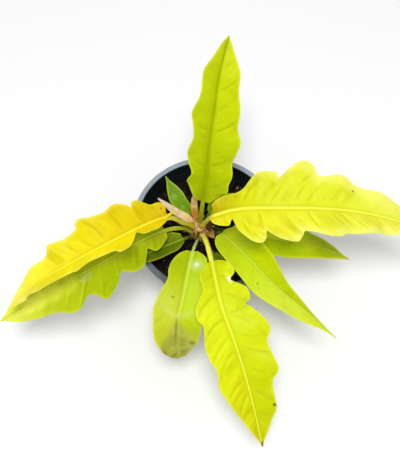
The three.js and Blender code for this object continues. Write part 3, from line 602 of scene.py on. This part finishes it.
def gutter(spine, half, taper, seed, steps=60, sides=40):
    """A pointed gutter, open to the side that faces the stem, as points, faces and a map."""
    part = np.linspace(0, 1, steps)
    along = spine.length * part
    swell = (np.minimum(1, 0.92 + 0.3 * part) * (1 - part**taper) ** 0.75 + 0.02)[:, None, None]
    across, up = (way[:, None] for way in spine.frame(along)[1:])
    wide, thick = circle(sides, -1).T
    thick = thick - 0.75 * np.exp(-((wide / 0.55) ** 2)) * (thick > 0)
    rings = spine.place(along)[:, None] + (across * (half[0] * swell) * wide[None, :, None]
                                           + up * (half[1] * swell) * thick[None, :, None])
    rings = rings + 0.25 * swell * noise(rings, 2.5, seed)[..., None] * up
    return bar(rings, wide * half[0], along, part)


def ear_parts(look):
    """The thin curled ear at a leaf's foot, coloured as one place on the blade."""
    points, faces, _ = gutter(Spine(look.ear, 0), EAR_HALF, 1.6, look.seed, 20, 16)
    return points, faces, [np.tile(row, (len(points), 1)) for row in EAR_MAPS]


def add_object(name, data):
    made = bpy.data.objects.new(name, data)
    bpy.context.scene.collection.objects.link(made)
    return made


def add_mesh(name, points, faces):
    """A mesh object from points in millimetres."""
    mesh = bpy.data.meshes.new(name)
    mesh.from_pydata((np.asarray(points) * MM).tolist(), [], [[int(i) for i in face] for face in faces])
    return add_object(name, mesh)


def piece(name, points, faces, material, node=None, slot=None, maps=(), sharp=180):
    """A mesh object that rides on the body and stands for a node. Its maps are values at its points."""
    made = add_mesh(name, points, faces)
    mesh = made.data
    for title, values in dict(maps).items():
        kind, field = ("FLOAT", "value") if np.ndim(values) == 1 else ("FLOAT_VECTOR", "vector")
        mesh.attributes.new(title, kind, "POINT").data.foreach_set(field, np.ravel(values).astype(np.float32))
    mesh.validate()
    mesh.polygons.foreach_set("use_smooth", [True] * len(mesh.polygons))
    mesh.set_sharp_from_angle(angle=math.radians(sharp))
    mesh.materials.append(material)
    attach(made, "root")
    if node:
        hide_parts(node)
    return made


class Shader:
    """A material made of nodes, with short calls for them. A colour is a socket or six hex digits."""

    def __init__(self, name):
        self.material = bpy.data.materials.new(name)
        self.material.use_nodes = True
        self.tree = self.material.node_tree
        self.tree.nodes.clear()
        self.surface = self.node("BsdfPrincipled")
        self.node("OutputMaterial", self.surface.outputs["BSDF"])

    def put(self, socket, value):
        if isinstance(value, bpy.types.NodeSocket):
            self.tree.links.new(value, socket)
        else:
            socket.default_value = linear(value) if isinstance(value, str) else value

    def node(self, kind, *values, **named):
        """A new node, with values for its first inputs and, by name, for other inputs and settings."""
        made = self.tree.nodes.new("ShaderNode" + kind)
        for name, value in named.items():
            if name in made.inputs:
                self.put(made.inputs[name], value)
            else:
                setattr(made, name, value)
        for socket, value in zip(made.inputs, values):
            if value is not None:
                self.put(socket, value)
        return made

    def set(self, **values):
        for name, value in values.items():
            self.put(self.surface.inputs[name.replace("_", " ")], value)

    def done(self, colour, roughness, specular, bump=(), soft=()):
        """The finished material. A bump has a height, distance and strength, soft a weight and radii."""
        self.set(Base_Color=colour, Roughness=roughness, Specular_IOR_Level=specular)
        if bump:
            height, distance, strength = bump
            self.set(Normal=self.node("Bump", strength, distance, Height=height).outputs["Normal"])
        if soft:
            self.set(Subsurface_Weight=soft[0], Subsurface_Radius=soft[1:], Subsurface_Scale=MM)
        return self.material

    def math(self, kind, *values):
        return self.node("Math", *values, operation=kind).outputs[0]

    def plus(self, a, b):
        return self.math("ADD", a, b)

    def less(self, a, b):
        return self.math("SUBTRACT", a, b)

    def times(self, a, b):
        return self.math("MULTIPLY", a, b)

    def range(self, *values):
        """A share from 0 to 1, or from value 4 to value 5, as value 1 goes from value 2 to value 3."""
        return self.node("MapRange", *values, interpolation_type="SMOOTHSTEP").outputs[0]

    def mix(self, factor, a, b, kind="MIX"):
        unused = [None] * 5
        return self.node("Mix", factor, *unused, a, b, data_type="RGBA", blend_type=kind).outputs[2]

    def cover(self, colour, *rows):
        """A colour with tints over it. A row is a tint and what range() makes its strength of."""
        for tint, *values in rows:
            colour = self.mix(self.range(*values), colour, tint)
        return colour

    def ramp(self, value, stops):
        made = self.node("ValToRGB", value)
        marks = made.color_ramp.elements
        while len(marks) < len(stops):
            marks.new(0.5)
        for mark, (place, colour) in zip(marks, stops.items()):
            mark.position = place
            mark.color = linear(colour)
        return made.outputs[0]

    def attribute(self, name, output="Vector"):
        return self.node("Attribute", attribute_name=name).outputs[output]

    def position(self):
        return self.node("TexCoord").outputs["Object"]

    def split(self, vector):
        return self.node("SeparateXYZ", vector).outputs

    def join(self, *values):
        return self.node("CombineXYZ", *values).outputs[0]

    def noise(self, vector, scale, detail=2, roughness=0.5):
        made = self.node("TexNoise", Vector=vector, Scale=scale, Detail=detail, Roughness=roughness)
        return made.outputs[0]


def leaf_maps(s, look):
    """What a leaf's material reads at each point: places on the leaf, and noises that follow it."""
    m = Values()
    m.x, m.along, m.vein = s.split(s.attribute("leaf"))
    m.rim, m.rib, m.part = s.split(s.attribute("place"))
    m.out = s.math("ABSOLUTE", m.x)
    flat = s.join(m.x, m.along, float(look.seed))
    m.streaks = s.noise(s.join(s.times(m.vein, 0.75), s.times(m.out, 0.06), 3), 1)
    m.blotches = s.noise(flat, 0.06, 3, 0.55)
    m.grain = s.noise(flat, 1.6)
    m.wander = s.noise(flat, 0.45)
    m.mottle = s.noise(flat, 0.35, 3, 0.6)
    return m


def blade_colour(s, look, m):
    """The blade with its veins, painted shade and highlight, blotches, rim and midrib."""
    shade = s.attribute("shade", "Fac")
    left, right = (s.ramp(m.part, stops) for stops in look.tone)
    body = s.cover(left, (right, m.x, -0.5, 0.5))
    # deep darkens: it paints shade in the dips and beside the midrib, and darker blotches and mottle
    deep = s.mix(1, body, "e4de58", "MULTIPLY")
    # pale lightens: it paints highlights on the crests, and pale streaks, rims and mottle
    pale = s.mix(0.45, body, look.pale)
    # Painted shade and painted highlight from the shade map come first
    colour = s.cover(body, (deep, shade, 0, -1, 0, 0.65), (pale, shade, 0, 1, 0, 0.6),
                     (deep, m.blotches, 0.45, 0.75, 0, 0.35), (pale, m.streaks, 0.5, 0.8, 0, 0.25),
                     (pale, m.rim, 0.2, 1.8, 0.6, 0))
    if look.fringe:
        width, strength, fringe = look.fringe
        ragged = s.math("MULTIPLY_ADD", m.blotches, 0.7 * width, m.rim)
        fringed = s.times(s.range(ragged, width, 0.3 * width), s.range(m.part, 0.08, 0.32, 0, strength))
        colour = s.mix(fringed, colour, fringe)
    # Painted shade: a darker band on each side of the midrib
    beside = s.times(s.range(m.rib, 1, 1.5), s.range(m.rib, 3.5, 1.8))
    colour = s.mix(s.times(beside, 0.35), colour, deep)
    return s.cover(colour, (look.rib, m.rib, 1.25, 0.6, 0, 0.85), (pale, m.mottle, 0.55, 0.8, 0, 0.22),
                   (deep, m.mottle, 0.45, 0.25, 0, 0.18))


def folded_tip(s, look, m, colour):
    """A colour with a folded tip over it: a pale band along the fold that is a painted highlight, and a dull
    brown wedge that is partly the tip's own brown and partly painted shade.
    """
    beyond = s.less(s.math("MULTIPLY_ADD", m.wander, 5, m.along), look.fold + 2)
    band = s.math("MULTIPLY_ADD", m.out, 0.5, s.math("MULTIPLY_ADD", m.x, -0.15, beyond))
    band = s.range(s.math("ABSOLUTE", band), 4.8, 0)
    # Painted highlight: the pale band along the line of the fold
    colour = s.mix(s.times(band, s.range(m.blotches, 0.35, 0.65, 0.34, 0.06)), colour, "e0ee90")
    # The wedge: partly the tip's own dull brown, partly painted shade of the tip that bends down out of the
    # light
    brown = s.cover("c2c650", ("a4a63c", m.blotches, 0.35, 0.65))
    ribbed = s.times(s.range(m.x, 2.4, 0.6), s.range(m.x, -0.6, 0.4))
    brown = s.mix(s.times(ribbed, s.range(m.part, 0.85, 0.66, 0, 0.8)), brown, "707a12")
    # Painted highlight: a paler stripe on one side of the midrib in the wedge
    lit = s.times(s.range(m.x, -3.2, -1.6), s.range(m.x, 0, -1.2, 0, 0.5))
    brown = s.mix(lit, brown, "c8cc70")
    slant = s.plus(s.times(m.out, 1.5), s.times(m.x, 0.2))
    return s.cover(colour, (brown, s.less(beyond, slant), -3, 6, 0, 0.85))


def spotted(s, look, m, colour):
    """A colour with the leaf's specks and scars over it, and marks of painted light: glare spots that are
    painted highlights, and pale patches that lighten a shadow.
    """
    for x, along, radius, tint, strength in look.marks:
        across = s.less(m.x, x)
        ahead = s.less(m.along, along)
        away = s.math("SQRT", s.plus(s.times(across, across), s.times(ahead, ahead)))
        away = s.math("MULTIPLY_ADD", m.wander, -0.8 * radius, away)
        colour = s.cover(colour, (tint, away, 0.8 * radius, 0, 0, strength))
    return colour


def stalk_colour(s, look, m):
    """The stalk, from the brown of its foot to its streaked green or yellow."""
    dark, light = look.stalk_tone
    half = look.stalk
    green = s.cover(dark, (light, m.streaks, 0.35, 0.65), (dark, m.out, 0.5 * half, 0.95 * half, 0, 0.5))
    if look.blush:
        green = s.cover(green, (look.blush, m.x, -0.3 * half, -0.9 * half, 0, 0.7))
    return s.cover("c09058", (green, m.vein, 1, 9))


def leaf_material(look):
    s = Shader(look.name + "_skin")
    m = leaf_maps(s, look)
    colour = blade_colour(s, look, m)
    if look.fold:
        colour = folded_tip(s, look, m, colour)
    colour = spotted(s, look, m, colour)
    colour = s.cover(colour, (stalk_colour(s, look, m), m.part, -0.4, -0.6))
    # Each half's brightness; where the halves differ it is partly painted light and shade, one half lighter
    # for how the light falls on it
    gain = s.range(m.x, -0.5, 0.5, *look.gain)
    lit = s.mix(1, colour, s.join(gain, gain, gain), "MULTIPLY")
    height = s.plus(s.times(m.streaks, 0.6), s.times(m.grain, 0.35))
    return s.done(lit, s.range(m.grain, 0.2, 0.8, 0.34, 0.46), 0.07, (height, 0.0003, 0.4), (0.12, 1, 1, 0.2))


def make_leaf(look):
    spine = Spine(look.spine, FOOT_KNOT)
    bodies = [blade_parts(look, spine), stalk_parts(look, spine)]
    if look.ear:
        bodies.append(ear_parts(look))
    points, faces = joined(body[:2] for body in bodies)
    leaf_map, place_map, shade = (np.vstack(maps) for maps in zip(*(body[2] for body in bodies)))
    maps = dict(leaf=leaf_map, place=place_map, shade=shade[:, 0])
    piece("fine_" + look.name, points, faces, leaf_material(look), look.name, look.slot, maps, 70)


def pot_inside(z):
    """The radius of the pot's inner side at a height."""
    return BASE_RADIUS - WALL + (NECK_RADIUS - BASE_RADIUS) * (z - CORNER) / (NECK_HEIGHT - CORNER)


# The radius of the potting mix at its top edge
SOIL_RADIUS = pot_inside(SOIL_TOP - SOIL_EDGE_DROP) - GAP


def arc(centre, radius, first, last, steps=5):
    angles = np.radians(np.linspace(first, last, steps))
    return [(centre[0] + radius * math.cos(a), centre[1] + radius * math.sin(a)) for a in angles]


def pot_material():
    s = Shader("pot_plastic")
    place = s.position()
    x, y, z = s.split(place)
    coarse = s.noise(place, 60, 4, 0.6)
    fine = s.noise(place, 900)
    # Painted reflection: the lip is painted a pale blue-grey, strongest on the far side and in uneven
    # patches, for the sheen of the light on it.
    far = s.range(s.less(y, s.times(x, 0.4)), -0.06, 0.05, 0.22, 1)
    lip_sheen = s.times(s.times(s.range(z, 0.0985, 0.0995), far), s.range(coarse, 0.2, 0.7, 0.8, 1))
    colour = s.mix(lip_sheen, s.cover("0c1518", ("161f22", coarse, 0.4, 0.7)), "94a2ae")
    height = s.plus(fine, s.times(coarse, 2))
    return s.done(colour, s.range(fine, 0.3, 0.7, 0.38, 0.55), 0.4, (height, 0.0001, 0.5))


def drain_cutter():
    """The round bars that are cut out of the pot's floor as its drain holes."""
    heights = (FLOOR + DRAIN_SPARE, -DRAIN_SPARE)
    round_hole = circle(DRAIN_SECTORS, -1)
    bars = [loft(level_rings([DRAIN_RADIUS] * 2, heights, round_hole, DRAIN_CIRCLE * place))
            for place in circle(DRAIN_HOLES)]
    return add_mesh("drain_cutter", *joined(bars))


def make_pot():
    inner = pot_inside(NECK_HEIGHT)
    profile = [(BASE_RADIUS - BASE_EDGE, 0)]
    profile += arc((BASE_RADIUS - CORNER, CORNER), CORNER, -90, 0)
    profile += [(NECK_RADIUS, NECK_HEIGHT - BEVEL), (NECK_RADIUS + BEVEL, NECK_HEIGHT)]
    profile += arc((NECK_RADIUS + SKIRT_STEP - SKIRT_ROUND, NECK_HEIGHT + SKIRT_ROUND), SKIRT_ROUND, -90, 0)
    profile += arc((RIM_RADIUS - LIP_ROUND, POT_HEIGHT - LIP_ROUND), LIP_ROUND, 0, 90, 7)
    profile += arc((RIM_RADIUS - LIP_WIDTH + LIP_ROUND, POT_HEIGHT - LIP_ROUND), LIP_ROUND, 90, 180, 7)
    profile += [(inner + BEVEL, NECK_HEIGHT + NECK_RISE), (inner, NECK_HEIGHT - NECK_FALL),
                (pot_inside(FLOOR + FLOOR_ROUND), FLOOR + FLOOR_ROUND),
                (pot_inside(FLOOR) - FLOOR_ROUND, FLOOR)]
    body = loft(level_rings(*np.transpose(profile), circle(POT_SECTORS)))
    sharp = 40
    made = piece("fine_pot", *body, pot_material(), "pot", "pot_plastic", sharp=sharp)
    cutter = drain_cutter()
    change = made.modifiers.new("drains", "BOOLEAN")
    change.object = cutter
    bpy.context.view_layer.update()
    drained = bpy.data.meshes.new_from_object(made.evaluated_get(bpy.context.evaluated_depsgraph_get()))
    made.modifiers.clear()
    made.data = drained
    bpy.data.objects.remove(cutter)
    drained.set_sharp_from_angle(angle=math.radians(sharp))


def soil_height(x, y):
    """The lumpy top of the potting mix, in the solid model's form with finer lumps on it."""
    clods = np.sin(x / 4.1 + 1.3 * np.sin(y / 6.3)) * np.cos(y / 4.7 + np.sin(x / 7.9))
    radius = np.hypot(x, y) / SOIL_RADIUS
    coarse = SOIL_BUMP * (clods + 0.4 * np.sin((x + y) / 2.6)) * smoothstep(1.0, 0.9, radius)
    at = np.stack([x, y, 0 * x], axis=-1)
    fine = 0.9 * noise(at, 3.1, 5) + 0.6 * noise(at, 1.4, 6)
    drop = SOIL_EDGE_DROP * smoothstep(0.93, 1.0, radius)
    return SOIL_TOP + SOIL_MOUND * (1 - radius**2) + coarse + fine - drop


def soil_material(name):
    s = Shader(name)
    place = s.position()
    tint = s.attribute("tint", "Fac")
    coarse = s.noise(place, 260, 3, 0.6)
    fine = s.noise(place, 1600)
    colour = s.ramp(s.plus(s.times(tint, 0.75), s.times(coarse, 0.3)),
                    {0: "070707", 0.3: "130f0c", 0.55: "2a1f16", 0.8: "58422f", 1: "a88c6c"})
    return s.done(colour, 0.92, 0.2, (s.plus(fine, coarse), 0.0004, 0.9))


def make_soil():
    bottom = FLOOR + GAP
    hole = STEM_RADIUS + GAP

    def ring(centre, radius, height):
        flat = np.array(centre) + radius * circle(SOIL_SECTORS)
        z = height(*flat.T) if callable(height) else np.full(len(flat), height)
        return np.column_stack([flat, z])

    rings = [ring((0, 0), 1.0, bottom), ring((0, 0), pot_inside(bottom) - GAP, bottom)]
    for part in np.linspace(1, 0, 64):
        radius = SOIL_RADIUS * part + hole * (1 - part)
        rings.append(ring(np.array(STEM_AT) * (1 - part), radius, soil_height))
    rings += [ring(STEM_AT, hole, STEM_FOOT), ring(STEM_AT, 1.0, STEM_FOOT)]
    points, faces = loft(np.array(rings))
    tint = 0.15 + 0.15 * noise(points, 9, 3)
    piece("fine_soil", points, faces, soil_material("potting_mix"), "soil", "potting_mix", dict(tint=tint))


def round_lump():
    """The corners and sides of a twenty-sided body, which each crumb bends out of shape."""
    g = (1 + math.sqrt(5)) / 2
    corners = [np.roll((t, u * g, 0), axis) for axis in range(3) for u in (1, -1) for t in (-1, 1)]
    sides = [(0, 11, 5), (0, 5, 1), (0, 1, 7), (0, 7, 10), (0, 10, 11), (1, 5, 9), (5, 11, 4), (11, 10, 2),
             (10, 7, 6), (7, 1, 8), (3, 9, 4), (3, 4, 2), (3, 2, 6), (3, 6, 8), (3, 8, 9), (4, 9, 5),
             (2, 4, 11), (6, 2, 10), (8, 6, 7), (9, 8, 1)]
    return unit(np.array(corners)), sides


def lump(rng, corners, size):
    """The points of a small irregular crumb, a bark chip or a short fibre of the potting mix."""
    rough = corners * rng.uniform(0.65, 1.25, (12, 1))
    stretch = np.array([rng.uniform(0.7, 1.9), rng.uniform(0.6, 1.2), rng.uniform(0.35, 0.9)]) * size
    spin, tip, _ = rng.uniform(0, 2 * math.pi, 3)
    tip *= 0.15
    about_z = np.array([[math.cos(spin), -math.sin(spin), 0], [math.sin(spin), math.cos(spin), 0], [0, 0, 1]])
    about_x = np.array([[1, 0, 0], [0, math.cos(tip), -math.sin(tip)], [0, math.sin(tip), math.cos(tip)]])
    return (rough * stretch) @ (about_z @ about_x).T


def make_crumbs():
    rng = np.random.default_rng(77)
    corners, sides = round_lump()
    least, more = CRUMB_SIZE
    bodies = []
    tints = []
    for _ in range(CRUMBS):
        radius = (SOIL_RADIUS - CRUMB_MARGIN) * math.sqrt(rng.uniform(0.0, 1.0))
        turn = rng.uniform(0, 2 * math.pi)
        x, y = radius * math.cos(turn), radius * math.sin(turn)
        size = least + more * rng.uniform() ** 3
        body = lump(rng, corners, size)
        tint = 0.1 + 0.6 * rng.uniform() ** 1.7 + (0.4 if rng.uniform() < 0.12 else 0)
        if math.hypot(x - STEM_AT[0], y - STEM_AT[1]) >= STEM_RADIUS + CRUMB_MARGIN:
            z = float(soil_height(np.array(x), np.array(y))) + 0.3 * size
            bodies.append((body + (x, y, z), sides))
            tints.append(np.full(len(body), tint))
    maps = dict(tint=np.concatenate(tints))
    piece("soil_crumbs", *joined(bodies), soil_material("crumbs"), None, "potting_mix", maps)


def stem_material():
    s = Shader("crown")
    place = s.position()
    x, y, z = s.split(place)
    rings = s.noise(s.join(s.times(x, 0.2), s.times(y, 0.2), z), 900, 3)
    spots = s.noise(place, 300, 3)
    colour = s.cover("9c7c40", ("e4c484", rings, 0.35, 0.65), ("b8a844", spots, 0.45, 0.7, 0, 0.7))
    return s.done(colour, 0.6, 0.3, (s.plus(rings, spots), 0.0006, 0.7), (0.1, 1, 0.6, 0.3))


def make_stem():
    dome_foot = STEM_TOP - DOME_HEIGHT
    dome_heights = dome_foot + DOME_HEIGHT * np.sin(np.linspace(0.08, 1.5, 14))
    lower = np.linspace(STEM_FOOT, SCARS_FROM - 1, 8)
    heights = np.concatenate([lower, np.linspace(SCARS_FROM, dome_foot, 60), dome_heights])
    scars = SCAR_DEPTH * np.abs(np.sin(heights / SCAR_PITCH * math.pi + 0.5)) ** 6
    radius = STEM_RADIUS - np.where(heights > SCARS_FROM, scars, 0)
    dome = np.sqrt(np.clip(1 - ((heights - dome_foot) / (DOME_HEIGHT + 0.02)) ** 2, 0, 1))
    radius = np.where(heights > dome_foot, (STEM_RADIUS - DOME_STEP) * dome, radius)
    rings = level_rings(radius, heights, circle(STEM_SECTORS), STEM_AT)
    rough = 0.35 * noise(rings * [1, 1, 2.2], 2.2, 9)
    outward = unit((rings - [*STEM_AT, 0]) * [1, 1, 0])
    rings = rings + outward * (rough * (radius > 1)[:, None])[..., None]
    piece("fine_stem", *loft(rings), stem_material(), "stem", "stem_green")


def sheath_material(look):
    s = Shader(look.name + "_skin")
    place = s.attribute("leaf")
    x, along, part = s.split(place)
    streaks = s.noise(s.join(s.times(x, 2.2), s.times(along, 0.12), float(look.seed)), 1, 3)
    blotches = s.noise(place, 0.25, 3)
    foot, rim, light, tip = look.colours
    half = look.half[0]
    colour = s.cover(foot, (tip, part, 0.3, 0.75), (light, streaks, 0.45, 0.7, 0, 0.7),
                     (rim, blotches, 0.5, 0.75, 0, 0.6),
                     (rim, s.math("ABSOLUTE", x), 0.7 * half, half, 0, 0.5))
    return s.done(colour, 0.55, 0.3, (streaks, 0.0004, 0.6), (0.15, 1, 0.7, 0.5))


def make_sheath(look):
    spine = Spine(look.spine, 0)
    if hasattr(look, "front"):
        spine.lean = np.array(look.front)
    *body, leaf_map = gutter(spine, look.half, getattr(look, "taper", SHEATH_TAPER), look.seed)
    maps = dict(leaf=leaf_map)
    piece("fine_" + look.name, *body, sheath_material(look), look.name, look.slot, maps, 60)


def scale_material():
    s = Shader("crown_scales")
    x, along, part = s.split(s.attribute("leaf"))
    tint = s.attribute("tint", "Fac")
    streaks = s.noise(s.join(s.times(x, 3), s.times(along, 0.2), tint), 1, 3)
    colour = s.ramp(s.plus(tint, s.times(streaks, 0.4)),
                    {0.1: "2c1c0c", 0.4: "684618", 0.75: "a87c3c", 1: "d8bc80"})
    return s.done(colour, 0.7, 0.2, (streaks, 0.0004, 0.7))


def make_scales():
    """The dry scales and fibres that are left of old sheaths, round the foot of the stalks."""
    rng = np.random.default_rng(41)
    bodies, maps, tints = [], [], []
    for first, last, low, high, number in SCALES:
        for k in range(number):
            turn = math.radians(rng.uniform(first, last))
            height, length, bow = rng.uniform(low, high), rng.uniform(*SCALE_LENGTH), rng.uniform(-0.5, 0.6)
            heading = turn + rng.uniform(-0.6, 0.6)
            outward = np.array([math.cos(turn), math.sin(turn), 0])
            start = np.array([*STEM_AT, 0]) + (STEM_RADIUS - SCALE_INSET) * outward
            knots = [start + [length * t * math.cos(heading), length * t * math.sin(heading),
                              height + length * t * (bow + 0.5 - 0.7 * t)] for t in (0, 0.35, 0.7, 1)]
            half = (0.35 + 1.1 * rng.uniform() ** 2, rng.uniform(0.15, 0.4))
            body, faces, leaf_map = gutter(Spine(knots, 0), half, SHEATH_TAPER, 50 + k, 16, 12)
            bodies.append((body, faces))
            maps.append(leaf_map)
            tints.append(np.full(len(body), 0.75 * rng.uniform() ** 1.5))
    maps = dict(leaf=np.vstack(maps), tint=np.concatenate(tints))
    piece("crown_scales", *joined(bodies), scale_material(), None, "sheath_brown", maps, 60)


def make_floor():
    corners = [(-1, -1, 0), (1, -1, 0), (1, 1, 0), (-1, 1, 0)]
    floor = add_mesh("floor", np.array(corners) * FLOOR_REACH, [(0, 1, 2, 3)])
    floor.data.materials.append(Shader("floor_white").done(FLOOR_COLOUR, 0.9, 0.1))


def aim(thing, place, heading):
    """Puts the lamp or the camera at a place in millimetres and turns it to a heading."""
    thing.location = place * MM
    thing.rotation_mode = "QUATERNION"
    thing.rotation_quaternion = heading.to_track_quat("-Z", "Y")


def make_light():
    world = bpy.data.worlds.new("studio")
    world.use_nodes = True
    sky = world.node_tree.nodes["Background"]
    sky.inputs["Color"].default_value = (1, 1, 1, 1)
    sky.inputs["Strength"].default_value = SKY_STRENGTH
    bpy.context.scene.world = world
    data = bpy.data.lights.new("key", "AREA")
    data.shape = "DISK"
    data.size = LAMP_WIDTH * MM
    data.energy = LAMP_POWER
    aim(add_object("key", data), LAMP_PLACE, CAMERA_TARGET - LAMP_PLACE)
    bpy.context.scene.view_settings.view_transform = "Standard"


def make_camera():
    rise = math.radians(CAMERA_ELEVATION)
    back = Vector((0, -math.cos(rise), math.sin(rise)))
    data = bpy.data.cameras.new("camera")
    data.lens = CAMERA_LENS
    data.sensor_width = CAMERA_SENSOR
    data.clip_start = 0.01
    camera = add_object("camera", data)
    aim(camera, CAMERA_TARGET + back * CAMERA_DISTANCE, -back)
    bpy.context.scene.camera = camera


make_camera()
make_light()
make_floor()
make_pot()
make_soil()
make_crumbs()
make_stem()
for row in LEAVES:
    make_leaf(row)
for row in SHEATHS:
    make_sheath(row)
make_scales()

bpy.context.view_layer.update()
